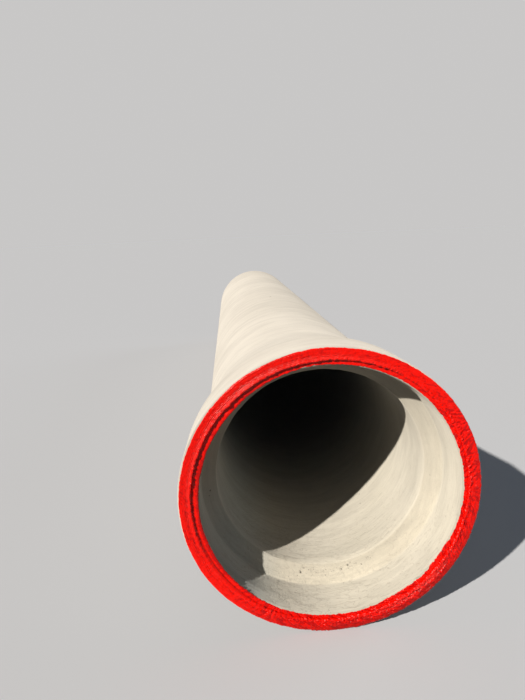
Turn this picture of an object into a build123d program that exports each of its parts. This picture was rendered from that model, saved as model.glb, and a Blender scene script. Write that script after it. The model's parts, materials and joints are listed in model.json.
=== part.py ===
import os
from math import asin, atan2, cos, degrees, hypot, sin

from build123d import *

# Precast concrete culvert pipe with a bell-and-spigot joint, lying on level ground.
# Sizes are millimetres. A station is a distance along the pipe's axis from the bell's end face,
# and a radius is measured from that axis.

# Waterway, barrel and length of pipeline that one pipe covers
bore_diameter = 900
wall = 56
laying_length = 6000

# Spigot: a step down from the barrel, a groove for the rubber ring and a bevelled nose
spigot_step = 7
spigot_length = 130
step_bevel_length = 12
ring_groove_width = 26
ring_groove_depth = 8
ring_groove_station = 46
nose_bevel = 16

# Socket: room round the spigot, ring seat, shoulder, lead-in, lip and mouth rebate
joint_gap = 13
seat_length = 121
shoulder_length = 51
lead_in_length = 56
lead_in_rise = 9
lip_width = 21
rebate_depth = 8
end_gap = 12

# Outside of the bell and the long flare behind it
bell_wall = 81
bell_length = 245
bell_draft = 8
flare_length = 515
flare_hollow = 3.5
mould_step = 5.5
mould_step_length = 34

# Edge roundings, and the bevels that take off the sharp arrises
face_edge_radius = 8
seat_corner_radius = 10
bore_edge_radius = 7
bell_blend_radius = 350
mould_step_radius = 60
rebate_bevel = 2
lip_bevel = 5
nose_arris = 4

# Radii
bore_radius = bore_diameter / 2
barrel_radius = bore_radius + wall
spigot_radius = barrel_radius - spigot_step
groove_radius = spigot_radius - ring_groove_depth
nose_radius = spigot_radius - nose_bevel
seat_radius = spigot_radius + joint_gap
mouth_radius = seat_radius + lead_in_rise
rebate_radius = mouth_radius + lip_width
bell_radius = seat_radius + bell_wall
bell_back_radius = bell_radius - bell_draft
flare_end_radius = barrel_radius + mould_step

# Stations of the socket and the bell
lip_station = rebate_depth
seat_start = lip_station + lead_in_length
seat_end = seat_start + seat_length
bore_start = seat_end + shoulder_length
flare_end = bell_length + flare_length
barrel_start = flare_end + mould_step_length

# The nose bevel lies parallel to the shoulder of the next pipe's socket, end_gap away from it,
# so the depth of the joint follows from the two profiles.
shoulder_slope = (seat_radius - bore_radius) / shoulder_length
nose_bevel_length = nose_bevel / shoulder_slope
joint_depth = seat_end + (seat_radius - nose_radius) / shoulder_slope - end_gap
overall_length = laying_length + joint_depth

# Stations of the spigot, counted back from its end
barrel_end = overall_length - spigot_length - step_bevel_length
spigot_start = overall_length - spigot_length
groove_middle = overall_length - ring_groove_station
groove_near = groove_middle - ring_groove_width / 2
groove_far = groove_middle + ring_groove_width / 2
nose_start = overall_length - nose_bevel_length

# Resting tilt: the pipe bears on the rounded edge of the bell's face and on the end of the barrel.
face_edge_slope = bell_draft / bell_length
edge_centre_radius = bell_radius - face_edge_radius * (face_edge_slope + hypot(1, face_edge_slope))
run = barrel_end - face_edge_radius
fall = edge_centre_radius - barrel_radius
tilt = atan2(fall, run) + asin(face_edge_radius / hypot(run, fall))

# The middle of the bell's end face, for an origin on the ground under the middle of the pipe's box
face_height = face_edge_radius * (1 + sin(tilt)) + edge_centre_radius * cos(tilt)
front_reach = edge_centre_radius * sin(tilt) + face_edge_radius * (1 - cos(tilt))
back_reach = overall_length * cos(tilt) + nose_radius * sin(tilt)
face_y = (front_reach - back_reach) / 2

# Profile plane: its x runs down the pipe's axis from the bell to the spigot, its y is the radius.
profile_plane = Plane(
    origin=(0, face_y, face_height),
    x_dir=(0, cos(tilt), -sin(tilt)),
    z_dir=(1, 0, 0),
)
pipe_axis = Axis(profile_plane.origin, profile_plane.x_dir)

# Corners of the half section, named where an edge is rounded or bevelled
bore_mouth = (bore_start, bore_radius)
seat_corner = (seat_end, seat_radius)
lip_corner = (lip_station, mouth_radius)
rebate_corner = (0, rebate_radius)
face_corner = (0, bell_radius)
bell_back = (bell_length, bell_back_radius)
flare_foot = (flare_end, flare_end_radius)
barrel_front = (barrel_start, barrel_radius)
nose_corner = (overall_length, nose_radius)
bore_outlet = (overall_length, bore_radius)

roundings = [
    (bore_mouth, bore_edge_radius),
    (seat_corner, seat_corner_radius),
    (face_corner, face_edge_radius),
    (bell_back, bell_blend_radius),
    (flare_foot, mould_step_radius),
    (barrel_front, mould_step_radius),
]
bevels = [
    (lip_corner, lip_bevel),
    (rebate_corner, rebate_bevel),
    (nose_corner, nose_arris),
    (bore_outlet, nose_arris),
]

# The pipe: one casting, turned from its half section
with BuildPart() as pipe:
    with BuildSketch(profile_plane) as half_section:
        with BuildLine():
            # Inside, from the spigot's end to the face
            Line(bore_outlet, bore_mouth)
            Line(bore_mouth, seat_corner)
            Line(seat_corner, (seat_start, seat_radius))
            Line((seat_start, seat_radius), lip_corner)
            Line(lip_corner, (lip_station, rebate_radius))
            Line((lip_station, rebate_radius), rebate_corner)
            # Face, bell and flare
            Line(rebate_corner, face_corner)
            Line(face_corner, bell_back)
            SagittaArc(bell_back, flare_foot, -flare_hollow)
            # Barrel and spigot
            Line(flare_foot, barrel_front)
            Line(barrel_front, (barrel_end, barrel_radius))
            Line((barrel_end, barrel_radius), (spigot_start, spigot_radius))
            Line((spigot_start, spigot_radius), (groove_near, spigot_radius))
            Line((groove_near, spigot_radius), (groove_near, groove_radius))
            Line((groove_near, groove_radius), (groove_far, groove_radius))
            Line((groove_far, groove_radius), (groove_far, spigot_radius))
            Line((groove_far, spigot_radius), (nose_start, spigot_radius))
            Line((nose_start, spigot_radius), nose_corner)
            Line(nose_corner, bore_outlet)
        make_face()
        for corner, radius in roundings:
            fillet(half_section.vertices().sort_by_distance(corner)[0], radius)
        for corner, length in bevels:
            chamfer(half_section.vertices().sort_by_distance(corner)[0], length)
    revolve(axis=pipe_axis)

pipe.part.label = "pipe"

os.makedirs("parts", exist_ok=True)
export_step(pipe.part, "parts/pipe.step")

print("overall length", round(overall_length, 2), "barrel diameter", 2 * barrel_radius)
print("bell diameter", 2 * bell_radius, "resting tilt, degrees", round(degrees(tilt), 3))
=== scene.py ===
import json
import random
from bisect import bisect_right
from collections import namedtuple
from math import acos, atan2, ceil, cos, hypot, pi, radians, sin, tan

import bmesh
import bpy
from mathutils import Matrix, Vector, noise
from mathutils.kdtree import KDTree


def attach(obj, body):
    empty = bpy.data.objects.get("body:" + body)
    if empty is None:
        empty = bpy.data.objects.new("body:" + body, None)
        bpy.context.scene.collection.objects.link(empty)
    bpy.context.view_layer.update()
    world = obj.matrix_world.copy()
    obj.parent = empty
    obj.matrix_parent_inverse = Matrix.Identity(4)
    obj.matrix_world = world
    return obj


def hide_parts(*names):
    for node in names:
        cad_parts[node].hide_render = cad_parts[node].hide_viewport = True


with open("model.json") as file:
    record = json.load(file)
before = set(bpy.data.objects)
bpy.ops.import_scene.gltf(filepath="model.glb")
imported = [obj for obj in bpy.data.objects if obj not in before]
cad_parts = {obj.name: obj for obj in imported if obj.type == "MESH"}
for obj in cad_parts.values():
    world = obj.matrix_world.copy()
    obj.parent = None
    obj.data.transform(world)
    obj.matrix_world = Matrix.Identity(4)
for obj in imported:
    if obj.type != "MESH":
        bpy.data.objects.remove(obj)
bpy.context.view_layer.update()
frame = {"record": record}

# A precast concrete culvert pipe, its bell's mouth brushed with thick red paint. Sizes are metres.
# A station is a distance along the pipe's axis from the bell's end face, and a radius is measured
# from that axis. An angle starts at the pipe's left side and passes over its top, as seen by
# someone who looks into the bell.

# The pipe's own axes in the row frame, from the mounts: across, down the pipe, and up
mounts = {mount["name"]: mount for mount in frame["record"]["mounts"]}
down_pipe = Vector(mounts["spigot"]["axis"])
on_axis = Vector(mounts["spigot"]["pos_m"])
on_face = Vector(mounts["bell_face"]["pos_m"])
face_middle = on_axis + down_pipe * (on_face - on_axis).dot(down_pipe)
across_pipe = Vector((1, 0, 0))
upward = across_pipe.cross(down_pipe)
pipe_axes = Matrix((across_pipe, down_pipe, upward)).transposed().to_4x4()
pipe_to_row = Matrix.Translation(face_middle) @ pipe_axes

# Spigot: a step down from the barrel, a groove for the rubber ring and a bevelled nose
spigot_step = 0.007
spigot_length = 0.130
step_bevel_length = 0.012
ring_groove_width = 0.026
ring_groove_depth = 0.008
ring_groove_station = 0.046
nose_bevel = 0.016

# Socket: ring seat, shoulder, lead-in, lip and mouth rebate
seat_length = 0.121
shoulder_length = 0.051
lead_in_length = 0.056
lead_in_rise = 0.009
lip_width = 0.021
rebate_depth = 0.008
end_gap = 0.012

# Outside of the bell and the long flare behind it
bell_wall = 0.081
bell_length = 0.245
bell_draft = 0.008
flare_length = 0.515
flare_hollow = 0.0035
mould_step = 0.0055
mould_step_length = 0.034

# Edge roundings, and the bevels that take off the sharp arrises
face_edge_radius = 0.008
seat_corner_radius = 0.010
bore_edge_radius = 0.007
bell_blend_radius = 0.350
mould_step_radius = 0.060
rebate_bevel = 0.002
lip_bevel = 0.005
lead_in_bevel = 0.003
spigot_arris = 0.002
groove_arris = 0.0015
nose_arris = 0.004

# Radii
bore_radius = mounts["waterway"]["dims"]["r_mm"] / 1000
spigot_radius = mounts["spigot"]["dims"]["r_mm"] / 1000
seat_radius = mounts["socket"]["dims"]["r_mm"] / 1000
barrel_radius = spigot_radius + spigot_step
groove_radius = spigot_radius - ring_groove_depth
nose_radius = spigot_radius - nose_bevel
mouth_radius = seat_radius + lead_in_rise
rebate_radius = mouth_radius + lip_width
bell_radius = seat_radius + bell_wall
bell_back_radius = bell_radius - bell_draft
flare_end_radius = barrel_radius + mould_step

# Stations
laying_length = 6.0
lip_station = rebate_depth
seat_start = lip_station + lead_in_length
seat_end = seat_start + seat_length
bore_start = seat_end + shoulder_length
near_bore_end = bore_start + 1.0
flare_end = bell_length + flare_length
barrel_start = flare_end + mould_step_length

# The nose's bevel lies parallel to the shoulder of the next pipe's socket, end_gap away from it
shoulder_slope = (seat_radius - bore_radius) / (bore_start - seat_end)
pipe_end = laying_length + seat_end + (seat_radius - nose_radius) / shoulder_slope - end_gap
spigot_start = pipe_end - spigot_length
barrel_end = spigot_start - step_bevel_length
groove_near = pipe_end - ring_groove_station - ring_groove_width / 2
groove_far = pipe_end - ring_groove_station + ring_groove_width / 2
nose_start = pipe_end - (spigot_radius - nose_radius) / shoulder_slope


# Shape tools

def smooth_step(low, high, value):
    """0 below low, 1 above high, and a smooth rise between them."""
    share = min(1, max(0, (value - low) / (high - low)))
    return share * share * (3 - 2 * share)


def hump(value, middle, width):
    """1 at the middle, falling smoothly to 0 at a width on either side."""
    return 1 - smooth_step(0, width, abs(value - middle))


def angle_gap(first, second):
    """The smaller angle between two directions round the pipe, in radians."""
    gap = abs(first - second) % (2 * pi)
    return min(gap, 2 * pi - gap)


def outward(angle):
    """The direction away from the axis at an angle, in the pipe's own axes."""
    return Vector((-cos(angle), 0, sin(angle)))


def pipe_point(angle, station, radius):
    return outward(angle) * radius + Vector((0, station, 0))


def polar(point):
    """Angle, station and radius of a point in the pipe's own axes."""
    return atan2(point.z, -point.x), point.y, hypot(point.x, point.z)


def turn_section(bm, coarse_steps, cuts):
    """Turns a section round the axis: a coarse spin, whose rings are then cut finer and made round."""
    section_edge = bm.edges.layers.int.new("section_edge")
    true_radius = bm.verts.layers.float.new("true_radius")
    for edge in bm.edges:
        edge[section_edge] = 1
    for vert in bm.verts:
        vert[true_radius] = vert.co.z
    bmesh.ops.spin(
        bm,
        geom=bm.verts[:] + bm.edges[:],
        cent=(0, 0, 0),
        axis=(0, 1, 0),
        dvec=(0, 0, 0),
        angle=2 * pi,
        steps=coarse_steps,
        use_merge=True,
        use_duplicate=False,
    )
    rings = [edge for edge in bm.edges if not edge[section_edge]]
    bmesh.ops.subdivide_edges(bm, edges=rings, cuts=cuts)
    for vert in bm.verts:
        angle, station, _ = polar(vert.co)
        vert.co = pipe_point(angle, station, vert[true_radius])
    bmesh.ops.recalc_face_normals(bm, faces=bm.faces[:])
    bm.normal_update()


def round_corner(bm, vert, reach, segments):
    """Rounds or bevels a corner of a section, as far along its edges as the reach."""
    bmesh.ops.bevel(
        bm,
        geom=[vert],
        offset=reach,
        offset_type="OFFSET",
        segments=segments,
        profile=0.5,
        affect="VERTICES",
        material=-1,
    )


def smooth_but_creases(bm, crease_angle):
    for face in bm.faces:
        face.smooth = True
    for edge in bm.edges:
        edge.smooth = edge.calc_face_angle(0) < crease_angle


def finish_piece(name, bm, material):
    """Makes a piece in the row frame out of a bmesh in the pipe's own axes."""
    bm.transform(pipe_to_row)
    mesh = bpy.data.meshes.new(name)
    bm.to_mesh(mesh)
    bm.free()
    mesh.materials.append(material)
    piece = bpy.data.objects.new(name, mesh)
    bpy.context.scene.collection.objects.link(piece)
    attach(piece, "root")
    return piece


# Finish tools

def tint(red, green, blue):
    return (red, green, blue, 1.0)


def new_finish(name):
    material = bpy.data.materials.new(name)
    material.use_nodes = True
    return material.node_tree, material.node_tree.nodes["Principled BSDF"], material


def plug(tree, socket, value):
    """Links a socket to another node's output, or sets its value."""
    if isinstance(value, bpy.types.NodeSocket):
        tree.links.new(value, socket)
    else:
        socket.default_value = value


def add(tree, kind, settings=None, **inputs):
    """A node with its settings, and its inputs by name with _ for a space."""
    node = tree.nodes.new(kind)
    for key, value in (settings or {}).items():
        setattr(node, key, value)
    for key, value in inputs.items():
        plug(tree, node.inputs[key.replace("_", " ")], value)
    return node


def calc(tree, operation, first, second=0.0):
    node = tree.nodes.new("ShaderNodeMath")
    node.operation = operation
    plug(tree, node.inputs[0], first)
    plug(tree, node.inputs[1], second)
    return node.outputs[0]


def times(tree, *factors):
    """The product of several values."""
    result = factors[0]
    for factor in factors[1:]:
        result = calc(tree, "MULTIPLY", result, factor)
    return result


def total(tree, *parts):
    """The sum of several values."""
    result = parts[0]
    for part in parts[1:]:
        result = calc(tree, "ADD", result, part)
    return result


def rest_of(tree, share):
    """What a share leaves of 1."""
    return calc(tree, "SUBTRACT", 1.0, share)


def ease(tree, value, low, high, to_low=0.0, to_high=1.0):
    """Maps low..high to to_low..to_high with a smooth rise, and holds it beyond."""
    node = add(tree, "ShaderNodeMapRange", {"interpolation_type": "SMOOTHSTEP"}, Value=value)
    node.inputs["From Min"].default_value = low
    node.inputs["From Max"].default_value = high
    node.inputs["To Min"].default_value = to_low
    node.inputs["To Max"].default_value = to_high
    return node.outputs["Result"]


def blend_colours(tree, share, first, second, mode="MIX"):
    node = tree.nodes.new("ShaderNodeMix")
    node.data_type = "RGBA"
    node.blend_type = mode
    for socket in node.inputs:
        if socket.identifier == "Factor_Float":
            plug(tree, socket, share)
        elif socket.identifier == "A_Color":
            plug(tree, socket, first)
        elif socket.identifier == "B_Color":
            plug(tree, socket, second)
    return next(output for output in node.outputs if output.identifier == "Result_Color")


def grey_of(tree, value):
    return add(tree, "ShaderNodeCombineColor", Red=value, Green=value, Blue=value).outputs[0]


def cloud(tree, place, scale, detail=2.0, roughness=0.5, stretch=(1, 1, 1)):
    """Noise from about 0.3 to 0.7, drawn out along an axis whose stretch is under 1."""
    spread = add(tree, "ShaderNodeMapping", Vector=place, Scale=stretch).outputs[0]
    pattern = add(
        tree, "ShaderNodeTexNoise", Vector=spread, Scale=scale, Detail=detail, Roughness=roughness
    )
    return pattern.outputs["Fac"]


def reading(tree, attribute):
    """A number that the mesh carries on its points."""
    return add(tree, "ShaderNodeAttribute", {"attribute_name": attribute}).outputs["Fac"]


def pipe_place(tree):
    """The shaded point in the pipe's own axes."""
    to_pipe = pipe_to_row.inverted()
    here = tree.nodes.new("ShaderNodeTexCoord").outputs["Object"]
    moved = add(
        tree, "ShaderNodeMapping", Vector=here, Location=to_pipe.translation, Rotation=to_pipe.to_euler()
    )
    return moved.outputs[0]


def raise_surface(tree, shader, heights, strength):
    """Gives a finish its fine relief, from heights in metres."""
    relief = add(tree, "ShaderNodeBump", Height=heights, Distance=1.0, Strength=strength)
    plug(tree, shader.inputs["Normal"], relief.outputs["Normal"])


# The casting's half section: each corner's surface, which runs on from it, with the spacing of
# its rings, then its station and radius, and its rounding's radius or its bevel's length
Corner = namedtuple("Corner", "surface spacing station radius rounding bevel segments")
SECTION = [
    Corner("far bore", 0.160, pipe_end, bore_radius, 0, nose_arris, 1),
    Corner("near bore", 0.034, near_bore_end, bore_radius, 0, 0, 0),
    Corner("shoulder", 0.008, bore_start, bore_radius, bore_edge_radius, 0, 3),
    Corner("seat", 0.014, seat_end, seat_radius, seat_corner_radius, 0, 3),
    Corner("lead-in", 0.011, seat_start, seat_radius, 0, lead_in_bevel, 1),
    Corner("lip", 0.008, lip_station, mouth_radius, 0, lip_bevel, 1),
    Corner("rebate wall", 0.004, lip_station, rebate_radius, 0, 0, 0),
    Corner("face", 0.012, 0, rebate_radius, 0, rebate_bevel, 1),
    Corner("bell", 0.016, 0, bell_radius, face_edge_radius, 0, 4),
    Corner("flare", 0.026, bell_length, bell_back_radius, bell_blend_radius, 0, 3),
    Corner("mould step", 0.012, flare_end, flare_end_radius, mould_step_radius, 0, 2),
    Corner("barrel", 0.031, barrel_start, barrel_radius, mould_step_radius, 0, 2),
    Corner("spigot step", 0.014, barrel_end, barrel_radius, 0, spigot_arris, 1),
    Corner("spigot", 0.018, spigot_start, spigot_radius, 0, spigot_arris, 1),
    Corner("groove side", 0.010, groove_near, spigot_radius, 0, groove_arris, 1),
    Corner("groove", 0.014, groove_near, groove_radius, 0, 0, 0),
    Corner("groove side", 0.010, groove_far, groove_radius, 0, 0, 0),
    Corner("spigot", 0.015, groove_far, spigot_radius, 0, groove_arris, 1),
    Corner("nose", 0.012, nose_start, spigot_radius, 0, spigot_arris, 1),
    Corner("end face", 0.013, pipe_end, nose_radius, 0, nose_arris, 1),
]

# The surfaces that face the axis, and those that face away from it
INNER_CORNERS = SECTION[:7]
OUTER_CORNERS = SECTION[8:]


def corner_reach(corners, index):
    """How far a corner's rounding or bevel reaches along its edges."""
    corner = corners[index]
    if not corner.rounding:
        return corner.bevel
    before = corners[index - 1]
    after = corners[(index + 1) % len(corners)]
    come = Vector((corner.station - before.station, corner.radius - before.radius)).normalized()
    go = Vector((after.station - corner.station, after.radius - corner.radius)).normalized()
    return corner.rounding * tan(acos(come.dot(go)) / 2)


def draw_outline(bm, corners, closed):
    """Draws an outline as a wire, rounds its corners and cuts it to its ring spacings."""
    run = bm.edges.layers.int.new("run")
    verts = [bm.verts.new((0, corner.station, corner.radius)) for corner in corners]
    nexts = verts[1:] + verts[:1] if closed else verts[1:]
    for index, pair in enumerate(zip(verts, nexts)):
        bm.edges.new(pair)[run] = index
    for index, vert in enumerate(verts):
        if corners[index].segments:
            round_corner(bm, vert, corner_reach(corners, index), corners[index].segments)
    for edge in bm.edges[:]:
        cuts = ceil(edge.calc_length() / corners[edge[run]].spacing) - 1
        if cuts > 0:
            bmesh.ops.subdivide_edges(bm, edges=[edge], cuts=cuts)


# The concrete casting

casting_coarse_steps = 32
casting_cuts = 7
mouth_fade = 0.05
end_face_half = 0.017

# Heights of what stands off the true surface
bore_wave = 0.0006
short_bore_wave = 0.0004
shoulder_lump = 0.0013
barrel_wave = 0.0008
ring_wave = 0.00035
short_ring_wave = 0.0003

# Pin holes and small spalls that the photograph shows in the socket: angle in degrees, station,
# width and depth
SOCKET_HOLES = [
    (282.7, 0.214, 0.011, 0.007),
    (260.6, 0.217, 0.009, 0.006),
    (256.7, 0.223, 0.012, 0.007),
    (249.5, 0.213, 0.007, 0.005),
    (261.3, 0.176, 0.006, 0.004),
    (198.7, 0.078, 0.005, 0.003),
    (354.8, 0.211, 0.010, 0.005),
    (352.5, 0.205, 0.006, 0.004),
    (233.0, 0.690, 0.009, 0.004),
    (235.2, 0.612, 0.008, 0.004),
]
scattered_in_socket = 30
scattered_outside = 46


def is_inside(station, radius):
    """True in the bore and the socket, out to the rebate and to the middle of the far end face."""
    if station < bore_start:
        return radius < rebate_radius + rebate_bevel
    return radius < bore_radius + end_face_half


def on_shoulder(station, radius):
    """1 on the trowelled shoulder, fading out on the seat and a little way down the bore."""
    if not is_inside(station, radius):
        return 0
    rise = smooth_step(seat_end - 0.012, seat_end + 0.004, station)
    return rise * (1 - smooth_step(bore_start, bore_start + 0.05, station))


def ring_noise(around, station, per_metre, drift):
    """Noise that runs round the pipe in rings and wanders a little."""
    return noise.noise(Vector((around.x * drift, station * per_metre, around.z * drift)))


def casting_relief(point):
    """How far the real surface stands off the true one: ring waves, and lumps where it was trowelled."""
    angle, station, radius = polar(point)
    around = outward(angle)
    away = smooth_step(0.012, mouth_fade, station) * smooth_step(0, 0.02, pipe_end - station)
    if is_inside(station, radius):
        waves = bore_wave * ring_noise(around, station, per_metre=11, drift=1.0)
        waves += short_bore_wave * ring_noise(around, station, per_metre=27, drift=1.6)
        lumps = noise.fractal(point * 30, 1.0, 2.0, 3) * shoulder_lump * on_shoulder(station, radius)
        return away * (waves + lumps)
    waves = barrel_wave * ring_noise(around, station, per_metre=1.5, drift=1.6)
    waves += ring_wave * ring_noise(around + Vector((5, 0, 5)), station, per_metre=10, drift=1.6)
    waves += short_ring_wave * ring_noise(around, station, per_metre=21, drift=2.4)
    return away * waves


def surface_radius(station, inside):
    """The true radius of the inner or outer surface at a station, roundings left out."""
    corners = INNER_CORNERS if inside else OUTER_CORNERS
    for one, other in zip(corners, corners[1:]):
        low, high = sorted((one, other), key=lambda corner: corner.station)
        if low.station <= station <= high.station and high.station > low.station:
            share = (station - low.station) / (high.station - low.station)
            return low.radius + (high.radius - low.radius) * share
    return bore_radius if inside else barrel_radius


def casting_holes():
    """The socket's holes, and a sparse scatter of others, as point, width and depth."""
    holes = []
    for degrees_round, station, width, depth in SOCKET_HOLES:
        radius = surface_radius(station, True)
        holes.append((pipe_point(radians(degrees_round), station, radius), width, depth))
    scatter = random.Random(4)
    for _ in range(scattered_in_socket):
        station = scatter.gauss(bore_start - 0.016, 0.006)
        angle = radians(scatter.uniform(243, 286))
        middle = pipe_point(angle, station, surface_radius(station, True))
        holes.append((middle, scatter.uniform(0.003, 0.0065), 0.002))
    for _ in range(scattered_outside):
        angle = scatter.uniform(0, 2 * pi)
        station = scatter.uniform(0.08, pipe_end - 0.15)
        width = scatter.uniform(0.005, 0.011)
        radius = surface_radius(station, False)
        if flare_end > station > bell_length:
            radius -= flare_hollow
        holes.append((pipe_point(angle, station, radius), width, width * 0.5))
    return holes


def near_points(bm, centres, reach):
    """For each centre, the points within reach of it."""
    verts = bm.verts[:]
    tree = KDTree(len(verts))
    for index, vert in enumerate(verts):
        tree.insert(vert.co, index)
    tree.balance()
    return [[verts[index] for _, index, _ in tree.find_range(centre, reach)] for centre in centres]


def cut_round_holes(bm, middles, seen_within=0.022, cut_within=0.016):
    """Cuts the faces round each hole finer."""
    edges = {}
    for middle, verts in zip(middles, near_points(bm, middles, seen_within)):
        for face in [face for vert in verts for face in vert.link_faces]:
            if (face.calc_center_median() - middle).length < cut_within:
                edges.update(dict.fromkeys(face.edges))
    bmesh.ops.subdivide_edges(bm, edges=list(edges), cuts=4, use_grid_fill=True)
    bm.normal_update()


def sink_holes(bm, holes, pit, pressed_within=0.012):
    """Presses the holes in, with uneven rims, and marks them in the layer pit."""
    middles = [middle for middle, _, _ in holes]
    cut_round_holes(bm, middles)
    for (middle, width, depth), verts in zip(holes, near_points(bm, middles, pressed_within)):
        normal = sum((vert.normal for vert in verts), Vector()).normalized()
        for vert in verts:
            offset = vert.co - middle
            offset -= normal * offset.dot(normal)
            share = offset.length / (width / 2) * (1 + 0.35 * noise.noise(vert.co * 400))
            if share < 1:
                vert.co -= normal * depth * (1 - share * share)
                vert[pit] = 1 - share * share


def make_casting():
    bm = bmesh.new()
    draw_outline(bm, SECTION, closed=True)
    for vert in bm.verts:
        share = (vert.co.y - bell_length) / (flare_end - bell_length)
        if 0 < share < 1 and not is_inside(vert.co.y, vert.co.z):
            vert.co.z -= flare_hollow * 4 * share * (1 - share)
    turn_section(bm, casting_coarse_steps, casting_cuts)
    inside, rough, pit = [bm.verts.layers.float.new(name) for name in ("inside", "rough", "pit")]
    for vert, shift in [(vert, vert.normal * casting_relief(vert.co)) for vert in bm.verts]:
        vert.co += shift
    bm.normal_update()
    sink_holes(bm, casting_holes(), pit)
    for vert in bm.verts:
        _, station, radius = polar(vert.co)
        vert[inside] = 1.0 if is_inside(station, radius) else 0.0
        vert[rough] = on_shoulder(station, radius)
    smooth_but_creases(bm, radians(35))
    return finish_piece("casting", bm, concrete_finish())


# The concrete's finish. A spot is the shaded point: its place in the pipe's own axes, the three
# parts of that place, and how far it lies inside and on the rough shoulder.
Spot = namedtuple("Spot", "place across station height inside rough")

# The patterns that both the shade and the relief take up
Grain = namedtuple("Grain", "rings fine_rings smears streaks sand mottle torn")


def read_spot(tree):
    place = pipe_place(tree)
    across, station, height = add(tree, "ShaderNodeSeparateXYZ", Vector=place).outputs
    return Spot(place, across, station, height, reading(tree, "inside"), reading(tree, "rough"))


def cast_grain(tree, place):
    """Rings that the mould left, short smears, trowel streaks, sand, dust and a torn face."""
    return Grain(
        rings=cloud(tree, place, 1.0, 3.0, 0.6, (0.6, 14, 0.6)),
        fine_rings=cloud(tree, place, 1.0, 2.0, 0.6, (2.0, 75, 2.0)),
        smears=cloud(tree, place, 1.0, 4.0, 0.6, (4.0, 15, 4.0)),
        streaks=cloud(tree, place, 1.0, 3.0, 0.6, (9, 110, 9)),
        sand=cloud(tree, place, 430.0, 2.0, 0.7),
        mottle=cloud(tree, place, 110.0, 3.0, 0.7, (1.0, 0.28, 1.0)),
        torn=cloud(tree, place, 60.0, 5.0, 0.7),
    )


def low_in_pipe(tree, spot):
    """1 low in the socket and the bore, and less on the right."""
    low = ease(tree, spot.height, -0.51, -0.34, 1.0, 0.0)
    return times(tree, spot.inside, low, ease(tree, spot.across, -0.16, 0.14, 1.0, 0.15))


def settled_dust(tree, spot, low_down):
    """Grey dust that lies low inside, in smudges, and hardly on the steep shoulder."""
    smudges = ease(tree, cloud(tree, spot.place, 24.0, 4.0, 0.7), 0.38, 0.64)
    behind_seat = ease(tree, spot.station, seat_end - 0.01, seat_end + 0.02, 1.0, 0.8)
    off_shoulder = ease(tree, spot.rough, 0.0, 1.0, 1.0, 0.1)
    thickness = total(tree, times(tree, smudges, 0.22), 0.30)
    return times(tree, low_down, behind_seat, off_shoulder, thickness)


def trowel_lines(tree, spot):
    """Thin curved marks of the trowel, low in the bore behind the shoulder."""
    bent = add(tree, "ShaderNodeMapping", Vector=spot.place, Scale=(7, 26, 7)).outputs[0]
    swirl = add(
        tree, "ShaderNodeTexNoise", Vector=bent, Scale=1.0, Detail=2.5, Roughness=0.55, Distortion=1.8
    )
    off_line = calc(tree, "ABSOLUTE", calc(tree, "SUBTRACT", swirl.outputs["Fac"], 0.5))
    line = ease(tree, off_line, 0.0, 0.02, 1.0, 0.0)
    near = ease(tree, spot.station, 0.20, 1.0, 1.0, 0.1)
    low = ease(tree, spot.height, -0.42, 0.1, 1.0, 0.2)
    off_shoulder = ease(tree, spot.rough, 0.0, 1.0, 1.0, 0.5)
    return times(tree, line, spot.inside, near, low, off_shoulder)


def air_holes(tree, spot, low_down):
    """Pin holes where air sat against the mould: most of them on the low part of the shoulder."""
    cells = add(tree, "ShaderNodeTexVoronoi", Vector=spot.place, Scale=34.0)
    pick = add(tree, "ShaderNodeSeparateColor", Color=cells.outputs["Color"]).outputs[0]
    crowded = total(tree, times(tree, spot.rough, low_down), times(tree, low_down, 0.3))
    picked = calc(tree, "GREATER_THAN", pick, ease(tree, crowded, 0.0, 1.0, 0.95, 0.55))
    return times(tree, ease(tree, cells.outputs["Distance"], 0.03, 0.08, 1.0, 0.0), picked)


def concrete_colour(tree, spot, dust, lines):
    """Clouds outside, a sandier cast inside, dust, painted shade as a cooler grey low on the left
    inside, trowel lines.
    """
    ivory = tint(0.64, 0.61, 0.56)
    pale = tint(0.70, 0.668, 0.615)
    sandy = tint(0.62, 0.59, 0.512)
    torn_face = tint(0.745, 0.705, 0.61)
    dusty = tint(0.53, 0.505, 0.46)
    shade_grey = tint(0.57, 0.63, 0.64)
    dark_line = tint(0.34, 0.31, 0.26)
    clouds = ease(tree, cloud(tree, spot.place, 1.3, 4.0, 0.6), 0.36, 0.66)
    colour = blend_colours(tree, clouds, ivory, pale)
    uneven = ease(tree, cloud(tree, spot.place, 3.0, 3.0), 0.3, 0.7, 0.8, 1.0)
    colour = blend_colours(tree, times(tree, spot.inside, uneven), colour, sandy)
    colour = blend_colours(tree, times(tree, spot.rough, 0.8), colour, torn_face)
    colour = blend_colours(tree, dust, colour, dusty)
    # Painted shade: a cooler grey drawn low on the left inside, where shade falls
    shaded_left = ease(tree, spot.across, -0.40, -0.16, 1.0, 0.0)
    low = ease(tree, spot.height, -0.30, 0.20, 1.0, 0.0)
    colour = blend_colours(tree, times(tree, spot.inside, shaded_left, low, 0.7), colour, shade_grey)
    return blend_colours(tree, times(tree, lines, 0.42), colour, dark_line)


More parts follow.
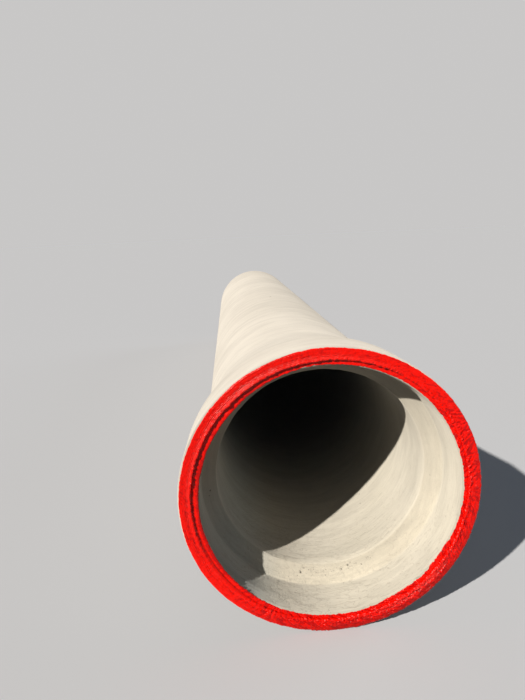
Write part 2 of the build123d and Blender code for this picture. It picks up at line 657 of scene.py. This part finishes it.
def concrete_shade(tree, spot, grain, dust, tearing):
    """How much darker or paler each spot is than its colour."""
    # Painted shade: the upper side inside drawn darker, more so towards the bore
    high = ease(tree, spot.height, -0.25, 0.30)
    painted_upper_shade = times(tree, high, ease(tree, spot.station, 0.05, bore_start, 0.10, 0.24))
    on_flare = ease(tree, spot.station, flare_end, barrel_start, 1.0, 0.0)
    smooth_flare = times(tree, rest_of(tree, spot.inside), on_flare)
    fresh_face = times(tree, spot.rough, ease(tree, spot.height, -0.50, -0.42, 1.0, 0.25))
    return times(
        tree,
        ease(tree, grain.rings, 0.35, 0.65, 0.975, 1.01),
        ease(tree, grain.fine_rings, 0.3, 0.7, 0.98, 1.01),
        ease(tree, grain.smears, 0.34, 0.60, 0.935, 1.02),
        ease(tree, grain.sand, 0.3, 0.7, 0.95, 1.04),
        ease(tree, times(tree, grain.streaks, spot.inside), 0.38, 0.62, 1.0, 0.95),
        ease(tree, times(tree, grain.mottle, dust), 0.25, 0.55, 1.0, 0.84),
        ease(tree, times(tree, grain.torn, tearing), 0.42, 0.62, 1.0, 0.92),
        # Painted shade on the upper side inside
        rest_of(tree, times(tree, spot.inside, painted_upper_shade)),
        ease(tree, smooth_flare, 0.0, 1.0, 1.0, 0.955),
        ease(tree, fresh_face, 0.0, 1.0, 1.0, 1.15),
        ease(tree, spot.station, 0.06, 0.30, 1.09, 1.0),
    )


def painted_bore_shade(tree, spot):
    """Painted shade deep in the bore: none near both ends, and a dark grey drawn between them."""
    from_socket = ease(tree, spot.station, 0.5, 1.8, 0.0, 0.85)
    return times(tree, spot.inside, from_socket, ease(tree, spot.station, 4.2, 5.8, 1.0, 0.0))


def concrete_finish():
    tree, shader, material = new_finish("cast_concrete")
    spot = read_spot(tree)
    grain = cast_grain(tree, spot.place)
    low_down = low_in_pipe(tree, spot)
    dust = settled_dust(tree, spot, low_down)
    lines = trowel_lines(tree, spot)
    holes = air_holes(tree, spot, low_down)
    tearing = times(tree, spot.rough, ease(tree, spot.height, -0.50, -0.33, 1.0, 0.25))

    # Painted shade: the dark grey drawn deep in the bore
    bore_shade_grey = tint(0.205, 0.213, 0.211)
    hole_shade = tint(0.17, 0.15, 0.12)
    colour = concrete_colour(tree, spot, dust, lines)
    shade = concrete_shade(tree, spot, grain, dust, tearing)
    colour = blend_colours(tree, 1.0, colour, grey_of(tree, shade), "MULTIPLY")
    # Painted shade deep in the bore
    colour = blend_colours(tree, painted_bore_shade(tree, spot), colour, bore_shade_grey)
    # Painted shade: the pin holes and pits drawn dark
    pits = ease(tree, reading(tree, "pit"), 0.05, 0.7, 0.0, 0.55)
    hole_shade_share = calc(tree, "MAXIMUM", times(tree, holes, 0.65), pits)
    colour = blend_colours(tree, hole_shade_share, colour, hole_shade)
    plug(tree, shader.inputs["Base Color"], colour)
    plug(tree, shader.inputs["Roughness"], ease(tree, grain.sand, 0.3, 0.7, 0.80, 0.94))
    shader.inputs["Specular IOR Level"].default_value = 0.25
    shader.inputs["Diffuse Roughness"].default_value = 1.0

    heights = total(
        tree,
        times(tree, cloud(tree, spot.place, 260.0, 3.0, 0.6), 0.0006),
        times(tree, grain.fine_rings, 0.0007),
        times(tree, grain.smears, 0.0022),
        times(tree, grain.streaks, spot.inside, 0.0010),
        times(tree, grain.torn, tearing, 0.0075),
        times(tree, grain.mottle, dust, -0.0055),
        times(tree, total(tree, holes, times(tree, lines, 0.5)), -0.0015),
    )
    raise_surface(tree, shader, heights, 0.8)
    return material


# The paint on the bell's mouth: one thick brushed coat with ragged edges

paint_coarse_steps = 170
paint_cuts = 7
paint_spacing = 0.0024
under_stride = 6

# Its even and its least thickness, how far it sinks into the concrete at an edge and over how
# long a way, and how deep its hidden underside lies
paint_thickness = 0.0014
least_paint = 0.0003
paint_sink = 0.0005
paint_feather = 0.0032
paint_underside = 0.0018

# What stands on it or is missing, with how far it spreads to either side: along the lip's arris,
# on the lip, in the rebate's corner, on the face, and over the face's edge
lip_bead = 0.0008
lip_roll = 0.0062
lip_roll_inward = 0.0040
lip_roll_spread = 0.0095
thin_on_lip = 0.0009
thin_spread = 0.0120
# Painted shade: where the coat's colour is drawn deeper along the lip's arris
shade_line_inward = 0.0010
shade_line_spread = 0.0085
corner_fill = 0.0060
corner_fill_spread = 0.0095
out_of_corner = Vector((-1, -1)).normalized()
face_ridge = 0.0022
face_ridge_outward = 0.0255
face_ridge_spread = 0.0085
outer_roll = 0.0038
outer_roll_spread = 0.0120

# Marks of the brush: bristles and strokes where it was drawn, dabs and peaks where it was
# dabbed, and the fat bead along the rebate
bristle_height = 0.0008
stroke_height = 0.0010
dab_height = 0.0050
peak_height = 0.0028
bead_height = 0.0036

# Stretches of the mouth: a middle, and a reach on either side of it, in degrees. The brush was
# drawn along the side round the drawn_middle, and dabbed on the other.
rolled_lip = (8, 105)
filled_corner = (328, 48)
heavy_edge = (230, 88)
# Painted shade: the stretch low on the right where the outer edge is drawn darker red
edge_shade_stretch = (240, 88)
# Painted sheen: the stretches where a pale pink highlight is drawn beside the rebate
sheen_high_left = (52, 82)
sheen_low_right = (230, 26)
drawn_middle = 40

# Each edge of the coat slides between a nearest and a furthest point of the outline. The inner
# edge is measured from the lip's bevel towards the bore, the way across that bevel with it, and
# the outer edge from the start of the face's rounding towards the bell.
inner_slide = 0.005
furthest_in = 0.014
across_bevel = 0.006
outer_slide = 0.004
furthest_out = 0.016
edge_margin = 0.0005

# Where the coat's edges run: angle in degrees, and how far past the bevel or the rounding's start
INNER_EDGE = [
    (0, 0.0115), (40, 0.0105), (60, 0.0080), (72, 0.0045), (82, 0.0018), (95, 0.0045), (150, 0.0028),
    (190, -0.0010), (204, 0.0015), (210, 0.0060), (219, 0.0055), (225, 0.0004), (232, 0.0036),
    (243, 0.0045), (252, 0.0015), (258, -0.0008), (272, 0.0012), (293, 0.0020), (303, 0.0060),
    (315, 0.0088), (338, 0.0112), (350, 0.0115),
]
OUTER_EDGE = [
    (0, 0.0045), (22, 0.0022), (45, 0.0040), (56, 0.0075), (64, 0.0050), (84, 0.0072), (98, 0.0044),
    (125, 0.0052), (142, 0.0080), (165, 0.0120), (240, 0.0140), (290, 0.0130), (325, 0.0100),
]


def along_rim(line, angle):
    """How far out a line round the rim runs at an angle, eased from one of its points to the next."""
    degrees_round = angle * 180 / pi % 360
    index = bisect_right([point[0] for point in line], degrees_round) - 1
    here, after = line[index], line[(index + 1) % len(line)]
    gap = (after[0] - here[0]) % 360
    return here[1] + (after[1] - here[1]) * smooth_step(0, gap, (degrees_round - here[0]) % 360)


def within(angle, stretch):
    """1 at the middle of a stretch of the mouth, falling smoothly to 0 at its ends."""
    middle, reach = stretch
    return hump(angle_gap(angle, radians(middle)), 0, radians(reach))


def on_line(one, other, station):
    """The radius at a station on the straight line through two corners."""
    share = (station - one.station) / (other.station - one.station)
    return one.radius + (other.radius - one.radius) * share


def mouth_corners():
    """The outline under the coat: from inside the lead-in, over the lip and face, to the bell."""
    named = {corner.surface: corner for corner in SECTION}
    inner_station = lip_station + lip_bevel + furthest_in - across_bevel
    outer_station = furthest_out
    inner_radius = on_line(named["lead-in"], named["lip"], inner_station)
    outer_radius = on_line(named["bell"], named["flare"], outer_station)
    stretch = [named[surface] for surface in ("lip", "rebate wall", "face", "bell")]
    stretch.insert(0, Corner("lead-in", 0, inner_station, inner_radius, 0, 0, 0))
    stretch.append(Corner("end", 0, outer_station, outer_radius, 0, 0, 0))
    return [corner._replace(spacing=paint_spacing) for corner in stretch]


def walk_outline(bm):
    """The points of an open outline in order, from its end with the smaller radius."""
    ends = [vert for vert in bm.verts if len(vert.link_edges) == 1]
    vert = min(ends, key=lambda end: end.co.z)
    edge = vert.link_edges[0]
    walked = [vert]
    while True:
        vert = edge.other_vert(vert)
        walked.append(vert)
        if len(vert.link_edges) == 1:
            return walked
        edge = next(other for other in vert.link_edges if other is not edge)


class Outline:
    """An outline that can be asked for the point, and the direction off it, at a distance along it."""

    def __init__(self, places):
        self.places = places
        self.reaches = [0.0]
        for before, after in zip(places, places[1:]):
            self.reaches.append(self.reaches[-1] + (after - before).length)

    def nearest(self, station, radius):
        """The distance along the outline of its point nearest to a place."""
        target = Vector((station, radius))
        index = min(range(len(self.places)), key=lambda at: (self.places[at] - target).length)
        return self.reaches[index]

    def at(self, reach):
        index = min(max(bisect_right(self.reaches, reach) - 1, 0), len(self.places) - 2)
        share = (reach - self.reaches[index]) / (self.reaches[index + 1] - self.reaches[index])
        return self.places[index].lerp(self.places[index + 1], share)

    def lean(self, reach):
        """The direction off the concrete, averaged so that it turns gently at a corner."""
        way = self.at(reach + paint_spacing) - self.at(reach - paint_spacing)
        return Vector((-way.y, way.x)).normalized()


def wander(angle, turns, seed):
    """Noise that closes on itself round the pipe, with about so many waves in a turn."""
    reach = turns / (2 * pi)
    return noise.noise(Vector((cos(angle) * reach, sin(angle) * reach, seed)))


def ragged(angle, seed):
    """How an edge of the coat strays from its line: slow waves, then the ends of bristles."""
    slow = 0.0014 * wander(angle, 90, seed)
    return slow + 0.0022 * wander(angle, 300, seed + 3) + 0.0018 * wander(angle, 760, seed + 7)


def stippled(angle):
    """0 where the brush was drawn round the mouth, to 1 where it was dabbed."""
    leaning = wander(angle, 5, 2.5) - 0.85 * cos(angle - radians(drawn_middle))
    return 0.2 + 0.8 * smooth_step(-0.25, 0.55, leaning)


def rebate_bead(angle, across):
    """The fat ridge of paint along the rebate's edge, in lumps, steep towards the rebate."""
    fat = bead_height + 0.0030 * wander(angle, 170, 5.5) + 0.0034 * wander(angle, 620, 8.5)
    across += 0.0030 * wander(angle, 330, 4.5)
    rise = smooth_step(-0.0030, 0.0022, across)
    return max(0.0, fat) * rise * (1 - smooth_step(0.0026, 0.0110, across))


def brush_noise(angle, across, per_metre_round, per_metre_across, start=(0, 0, 0)):
    """Noise on the coat, with one scale round the mouth and another across it."""
    turn_x, turn_z = cos(angle) * bell_radius, sin(angle) * bell_radius
    place = Vector((turn_x * per_metre_round, across * per_metre_across, turn_z * per_metre_round))
    return noise.noise(place + Vector(start))


def brush_height(angle, across):
    """The coat's relief above its even thickness, at a distance across from the rebate's edge."""
    slant = angle + across * 4.5 * wander(angle, 10, 6.5) / bell_radius
    bristles = brush_noise(angle, across, 24, 220)
    strokes = brush_noise(angle, across, 9, 100, (7, 3, 1))
    dabs = brush_noise(slant, across, 95, 38, (2, 9, 4))
    peaks = brush_noise(angle, across, 140, 150, (5, 1, 8))
    dabbed = stippled(angle)
    drawn = bristle_height * bristles + stroke_height * strokes * (1.3 - dabbed)
    lumps = (dab_height * dabs + peak_height * peaks) * (1 - 0.55 * smooth_step(0.028, 0.044, across))
    bead = rebate_bead(angle, across) * (1 - 0.75 * within(angle, filled_corner))
    return drawn + dabbed * lumps + bead


def painted_edge_shade(angle, edge_distance):
    """Painted shade: how much darker red the coat's outer edge is drawn, low on the bell."""
    width = 0.044 + 0.014 * wander(angle, 130, 4.5)
    return within(angle, edge_shade_stretch) * (1 - smooth_step(0, width, edge_distance))


def painted_sheen(angle, across):
    """Painted sheen: how much paler pink the coat is drawn beside the rebate, where highlights fall."""
    share = max(within(angle, sheen_high_left), within(angle, sheen_low_right))
    return share * smooth_step(0, 0.006, across) * (1 - smooth_step(0.012, 0.023, across))


class Coat:
    """The coat over the mouth's outline: where its edges run, and how thick it lies."""

    def __init__(self, outline):
        self.outline = outline
        self.whole = outline.reaches[-1]
        self.bevel_edge = outline.nearest(lip_station, mouth_radius + lip_bevel)
        self.corner = outline.nearest(lip_station, rebate_radius)
        self.rebate_edge = outline.nearest(0, rebate_radius + rebate_bevel)
        self.rounding_edge = outline.nearest(0, bell_radius - face_edge_radius)
        self.lip_arris = outline.nearest(lip_station + lip_bevel / 2, mouth_radius + lip_bevel / 2)
        self.lip_middle = outline.nearest(lip_station, (mouth_radius + rebate_radius) / 2)
        self.outer_arris = outline.nearest(face_edge_radius * 0.3, bell_radius - face_edge_radius * 0.3)
        self.known_edges = {}

    def edges(self, angle):
        """How far along the outline the coat's two edges lie at an angle."""
        key = round(angle, 5)
        if key not in self.known_edges:
            calm = 1 - 0.6 * within(angle, rolled_lip)
            inner = self.bevel_edge - along_rim(INNER_EDGE, angle) - ragged(angle, 1.5) * calm
            outer = self.rounding_edge + along_rim(OUTER_EDGE, angle) + 0.7 * ragged(angle, 8.5)
            self.known_edges[key] = (max(edge_margin, inner), min(self.whole - edge_margin, outer))
        return self.known_edges[key]

    def slide(self, angle, reach):
        """Moves a point along the outline, so that the mesh ends where the coat does."""
        inner, outer = self.edges(angle)
        inner_start = self.bevel_edge + inner_slide
        outer_start = self.rounding_edge - outer_slide
        if reach < inner_start:
            return inner_start - (inner_start - reach) * (inner_start - inner) / inner_start
        if reach > outer_start:
            room = self.whole - outer_start
            return outer_start + (reach - outer_start) * (outer - outer_start) / room
        return reach

    def thickness(self, angle, reach):
        return paint_thickness + brush_height(angle, reach - self.rebate_edge)

    def film_shade(self, angle, reach):
        """The coat's thickness for its colour, with painted shade: less along the lip's arris, most on
        the left, so that it is drawn deeper red there.
        """
        arris_shade = 0.4 + 0.6 * within(angle, rolled_lip) + within(angle, filled_corner)
        arris_shade *= thin_on_lip * hump(reach, self.lip_arris - shade_line_inward, shade_line_spread)
        return self.thickness(angle, reach) - arris_shade

    def height(self, angle, reach):
        """How far the coat's surface stands off the concrete."""
        inner, outer = self.edges(angle)
        height = self.thickness(angle, reach) - thin_on_lip * hump(reach, self.lip_middle, thin_spread)
        height = max(least_paint, height)
        heavy = within(angle, heavy_edge)
        ridge_place = self.rebate_edge + face_ridge_outward
        height += face_ridge * heavy * hump(reach, ridge_place, face_ridge_spread)
        height += outer_roll * heavy * hump(reach, self.outer_arris, outer_roll_spread)
        roll = lip_bead + lip_roll * within(angle, rolled_lip) * (1 + 0.3 * wander(angle, 60, 7.5))
        height += roll * hump(reach, self.lip_arris - lip_roll_inward, lip_roll_spread)
        from_edge = min(reach - inner, outer - reach)
        return (height + paint_sink) * smooth_step(0, paint_feather, from_edge) - paint_sink

    def surface(self, angle, reach):
        """The station and radius of the coat's surface."""
        place = self.outline.at(reach) + self.outline.lean(reach) * self.height(angle, reach)
        filled = within(angle, filled_corner) * hump(reach, self.corner, corner_fill_spread)
        return place + out_of_corner * corner_fill * filled

    def underside(self, reach):
        return self.outline.at(reach) - self.outline.lean(reach) * paint_underside


def draw_coat_section(bm, reach_layer, cover):
    """Draws the mouth's outline and a coarser one under it, joined into a closed strip."""
    draw_outline(bm, mouth_corners(), closed=False)
    walked = walk_outline(bm)
    coat = Coat(Outline([Vector((vert.co.y, vert.co.z)) for vert in walked]))
    under = []
    for index, (vert, reach) in enumerate(zip(walked, coat.outline.reaches)):
        vert[reach_layer] = reach
        vert[cover] = 1
        if index % under_stride == 0 or reach in (coat.corner, coat.whole):
            under.append(bm.verts.new((0, *coat.underside(reach))))
            under[-1][reach_layer] = reach
    for one, other in zip(under, under[1:]):
        bm.edges.new((one, other))
    bm.edges.new((walked[0], under[0]))
    bm.edges.new((walked[-1], under[-1]))
    return coat


def make_paint():
    bm = bmesh.new()
    names = ("reach", "cover", "film_shade", "edge_shading", "dabbed", "sheen_mark")
    reach_layer, cover, film_shade, edge_shading, dabbed, sheen_mark = [bm.verts.layers.float.new(name) for name in names]
    coat = draw_coat_section(bm, reach_layer, cover)
    turn_section(bm, paint_coarse_steps, paint_cuts)
    for vert in bm.verts:
        angle = polar(vert.co)[0]
        reach = coat.slide(angle, vert[reach_layer])
        if vert[cover] > 0.5:
            # Painted shade: thin places are drawn deeper red
            vert[film_shade] = coat.film_shade(angle, reach)
            place = coat.surface(angle, reach)
        else:
            place = coat.underside(reach)
        # Painted shade: how much darker the outer edge is drawn
        vert[edge_shading] = painted_edge_shade(angle, coat.edges(angle)[1] - reach)
        vert[dabbed] = stippled(angle)
        # Painted sheen beside the rebate
        vert[sheen_mark] = painted_sheen(angle, reach - coat.rebate_edge)
        vert.co = pipe_point(angle, place.x, place.y)
    bm.normal_update()
    smooth_but_creases(bm, radians(80))
    return finish_piece("mouth_paint", bm, paint_finish())


def paint_colour(tree, place, dashes):
    """Bright red, deeper where dabbed and at random; painted shade as deeper red in hollows and along
    the lip's arris, and as darker red on the outer edge low on the right; a painted pale pink sheen
    beside the rebate.
    """
    bright = tint(1.0, 0.006, 0.0)
    sheen_pink = tint(1.0, 0.070, 0.058)
    deep_and_shade = tint(0.48, 0.001, 0.002)
    shade_red = tint(0.20, 0.004, 0.003)
    # Painted shade: the relief's hollows and the lip's arris drawn a deeper red
    valley_shade = ease(tree, reading(tree, "film_shade"), 0.0001, 0.0014, 1.0, 0.0)
    patches = ease(tree, cloud(tree, place, 90.0, 3.0, 0.65), 0.50, 0.68)
    in_dabs = ease(tree, reading(tree, "dabbed"), 0.25, 1.0, 0.0, 0.14)
    deepness_and_shade = total(tree, times(tree, valley_shade, 0.6), times(tree, patches, 0.3), in_dabs)
    colour = blend_colours(tree, calc(tree, "MINIMUM", deepness_and_shade, 1.0), bright, deep_and_shade)
    # Painted shade: darker red drawn on the outer edge low on the right, in uneven patches
    shade_breakup = ease(tree, cloud(tree, place, 60.0, 3.0, 0.7), 0.35, 0.6, 0.6, 1.0)
    colour = blend_colours(tree, times(tree, reading(tree, "edge_shading"), shade_breakup), colour, shade_red)
    # Painted highlight: pale pink dashes drawn beside the rebate
    pale = times(tree, reading(tree, "sheen_mark"), ease(tree, dashes, 0.36, 0.58, 0.15, 0.75))
    return blend_colours(tree, pale, colour, sheen_pink)


def drawn_ridges(tree, radius, round_mouth, dashes, beside_rebate):
    """Ridges that the brush drew round the mouth, beside the rebate, broken into dashes."""
    drift = cloud(tree, round_mouth, 1.0, 2.0, 0.6, (9, 30, 9))
    phase = total(tree, times(tree, radius, 1050.0), times(tree, drift, 20.0))
    broken = times(tree, ease(tree, dashes, 0.36, 0.50), beside_rebate)
    return times(tree, calc(tree, "SINE", phase), 0.00075, broken)


def paint_finish():
    tree, shader, material = new_finish("brushed_red_paint")
    place = pipe_place(tree)
    across, _, height = add(tree, "ShaderNodeSeparateXYZ", Vector=place).outputs
    radius = calc(tree, "SQRT", total(tree, times(tree, across, across), times(tree, height, height)))
    turn_x = calc(tree, "DIVIDE", across, radius)
    turn_z = calc(tree, "DIVIDE", height, radius)
    round_mouth = add(tree, "ShaderNodeCombineXYZ", X=turn_x, Y=radius, Z=turn_z).outputs[0]
    dashes = cloud(tree, round_mouth, 1.0, 3.0, 0.65, (34, 90, 34))
    gloss = cloud(tree, place, 45.0, 2.0)
    plug(tree, shader.inputs["Base Color"], paint_colour(tree, place, dashes))
    plug(tree, shader.inputs["Roughness"], ease(tree, gloss, 0.35, 0.65, 0.20, 0.34))
    shader.inputs["Specular IOR Level"].default_value = 0.25
    shader.inputs["Diffuse Roughness"].default_value = 1.0

    # Relief: fine grain, the brush's dabs, its ridges, and bristle marks that run round the mouth
    beside_rebate = times(
        tree,
        ease(tree, radius, rebate_radius + 0.001, rebate_radius + 0.006),
        ease(tree, radius, rebate_radius + 0.019, rebate_radius + 0.030, 1.0, 0.2),
    )
    fewer_dabs = ease(tree, beside_rebate, 0.2, 1.0, 1.0, 0.5)
    heights = total(
        tree,
        times(tree, cloud(tree, place, 300.0, 2.0, 0.6), 0.0005),
        times(tree, cloud(tree, place, 120.0, 3.0, 0.6), 0.0015, fewer_dabs),
        drawn_ridges(tree, radius, round_mouth, dashes, beside_rebate),
        times(tree, cloud(tree, round_mouth, 1.0, 3.0, 0.6, (14, 260, 14)), 0.0013),
    )
    raise_surface(tree, shader, heights, 1.0)
    return material


casting = make_casting()
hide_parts("pipe")
mouth_paint = make_paint()


# Floor, light and camera

floor_radius = 120

# The lit floor's brightness, which the background shares so that the two meet without a line
floor_glow = tint(0.580, 0.572, 0.5675)

# The key stands high on the left, in front of the bell. A weak fill stands low on the other side.
towards_key = (-0.998, -1.0, 0.950)
towards_fill = (1.0, 0.35, 0.30)

# The photograph's camera, solved from the pipe's outlines: place, turns in degrees and lens in mm
camera_place = (-0.3414, -4.9723, 1.6145)
camera_heading = -3.036
camera_pitch = -12.774
camera_roll = -2.586
camera_lens = 27.533


def seen_share(tree):
    """1 for what the camera, gloss and glass see, and 0 for what only lights the pipe."""
    path = tree.nodes.new("ShaderNodeLightPath")
    shown = calc(tree, "MAXIMUM", path.outputs["Is Camera Ray"], path.outputs["Is Glossy Ray"])
    return calc(tree, "MAXIMUM", shown, path.outputs["Is Transmission Ray"])


def make_floor():
    """A pale floor that throws only a little light back on the pipe."""
    bm = bmesh.new()
    bmesh.ops.create_circle(bm, cap_ends=True, radius=floor_radius, segments=96)
    mesh = bpy.data.meshes.new("studio_floor")
    bm.to_mesh(mesh)
    bm.free()
    tree, shader, material = new_finish("floor_paper")
    pale_floor = tint(0.745, 0.775, 0.835)
    dark_floor = tint(0.16, 0.16, 0.16)
    colour = blend_colours(tree, seen_share(tree), dark_floor, pale_floor)
    plug(tree, shader.inputs["Base Color"], colour)
    shader.inputs["Roughness"].default_value = 0.9
    shader.inputs["Specular IOR Level"].default_value = 0.0
    mesh.materials.append(material)
    floor = bpy.data.objects.new("studio_floor", mesh)
    bpy.context.scene.collection.objects.link(floor)


def make_sky():
    """Even soft light from all round, and a pale background for what the camera and gloss see."""
    world = bpy.data.worlds.new("studio")
    world.use_nodes = True
    bpy.context.scene.world = world
    tree = world.node_tree
    tree.nodes.clear()
    light = add(tree, "ShaderNodeBackground", Color=tint(0.78, 0.87, 1.0), Strength=0.07)
    seen = add(tree, "ShaderNodeBackground", Color=floor_glow, Strength=1.0)
    mix = tree.nodes.new("ShaderNodeMixShader")
    plug(tree, mix.inputs[0], seen_share(tree))
    plug(tree, mix.inputs[1], light.outputs[0])
    plug(tree, mix.inputs[2], seen.outputs[0])
    output = tree.nodes.new("ShaderNodeOutputWorld")
    plug(tree, output.inputs["Surface"], mix.outputs[0])


def make_lamp(name, energy, spread, colour, towards_light):
    """A lamp so far off that its light is even, and soft over a spread in degrees."""
    lamp = bpy.data.lights.new(name, "SUN")
    lamp.energy = energy
    lamp.angle = radians(spread)
    lamp.color = colour
    piece = bpy.data.objects.new(name, lamp)
    bpy.context.scene.collection.objects.link(piece)
    piece.rotation_mode = "QUATERNION"
    piece.rotation_quaternion = Vector(towards_light).to_track_quat("Z", "Y")


def make_camera():
    data = bpy.data.cameras.new("camera")
    data.lens = camera_lens
    camera = bpy.data.objects.new("camera", data)
    bpy.context.scene.collection.objects.link(camera)
    heading = Matrix.Rotation(radians(camera_heading), 4, "Z")
    pitch = Matrix.Rotation(pi / 2 + radians(camera_pitch), 4, "X")
    roll = Matrix.Rotation(radians(camera_roll), 4, "Z")
    camera.matrix_world = Matrix.Translation(camera_place) @ heading @ pitch @ roll
    bpy.context.scene.camera = camera


make_floor()
make_sky()
make_lamp("key", energy=3.9, spread=1.0, colour=(1.0, 0.93, 0.83), towards_light=towards_key)
make_lamp("fill", energy=0.40, spread=30.0, colour=(0.90, 0.95, 1.0), towards_light=towards_fill)
make_camera()
bpy.context.scene.view_settings.view_transform = "Standard"
